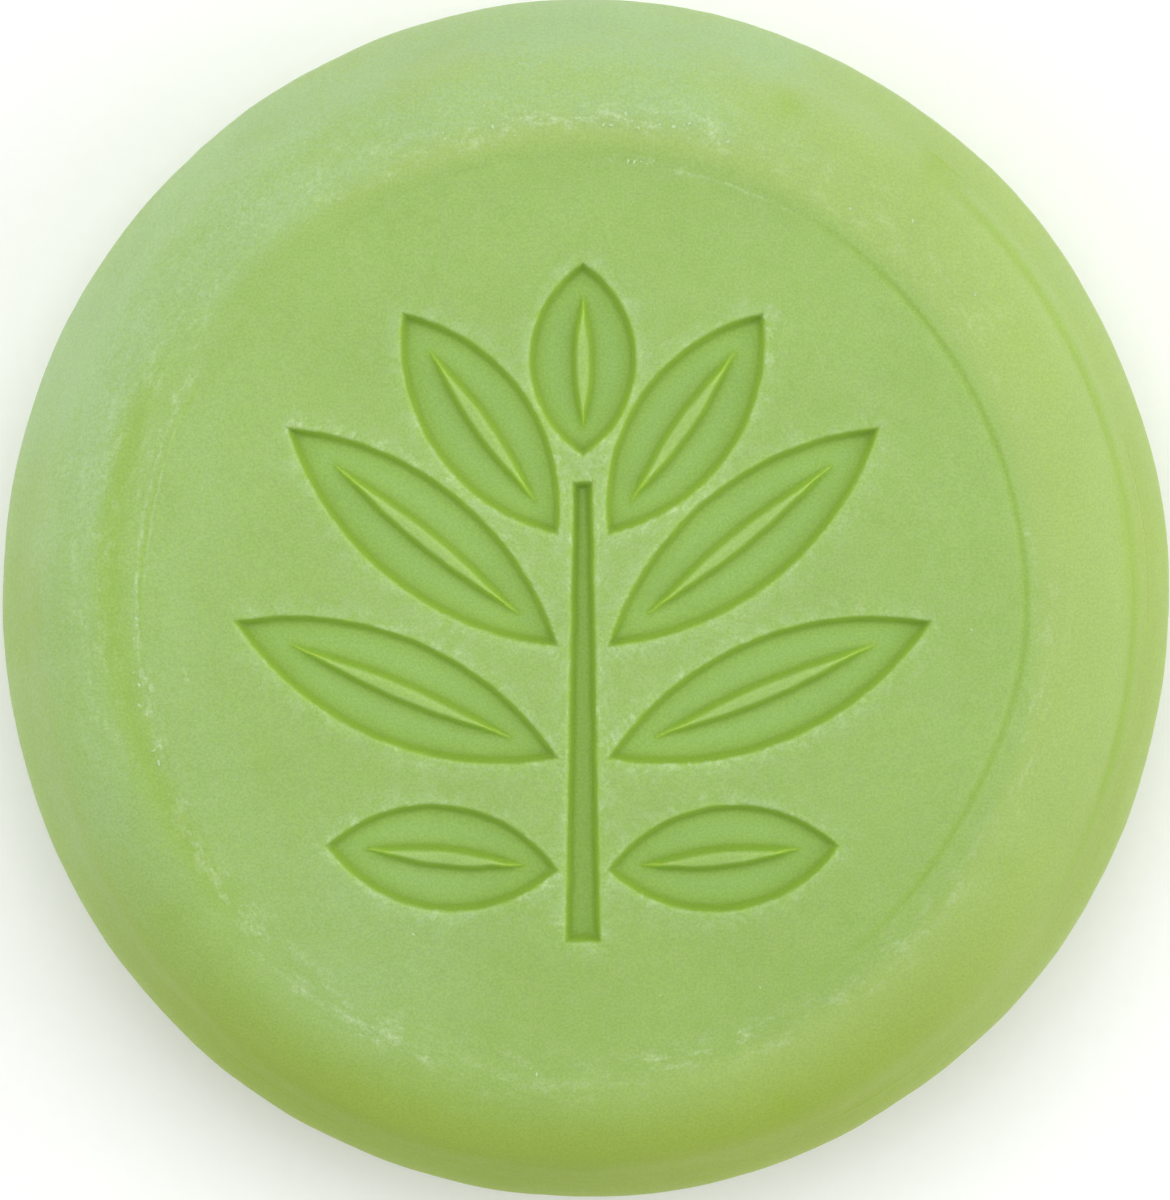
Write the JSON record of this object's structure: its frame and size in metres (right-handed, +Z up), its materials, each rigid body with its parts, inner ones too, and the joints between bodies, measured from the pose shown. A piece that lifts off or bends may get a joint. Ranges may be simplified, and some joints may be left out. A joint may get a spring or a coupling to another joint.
{
  "type": "shaving soap puck",
  "caption": "Round pressed bar of soap with a bulged band, rounded shoulders, flat faces with a fine groove and a low rim, and a leaf sprig pressed into the top face.",
  "frame": {"origin": "middle of the underside, in the plane of the worn ring that the puck rests on", "axes": "+Z up out of the decorated face, +Y towards the tip of the sprig, which is also the slightly longer way across, +X to the right with the sprig upright"},
  "size_m": [0.07, 0.0718, 0.024],
  "materials": {
    "soap": "smooth milled soap, satin, slightly waxy and translucent at thin edges, fine grain and pale scuffs"
  },
  "bodies": {
    "root": {"soap_puck": "soap"}
  },
  "joints": []
}
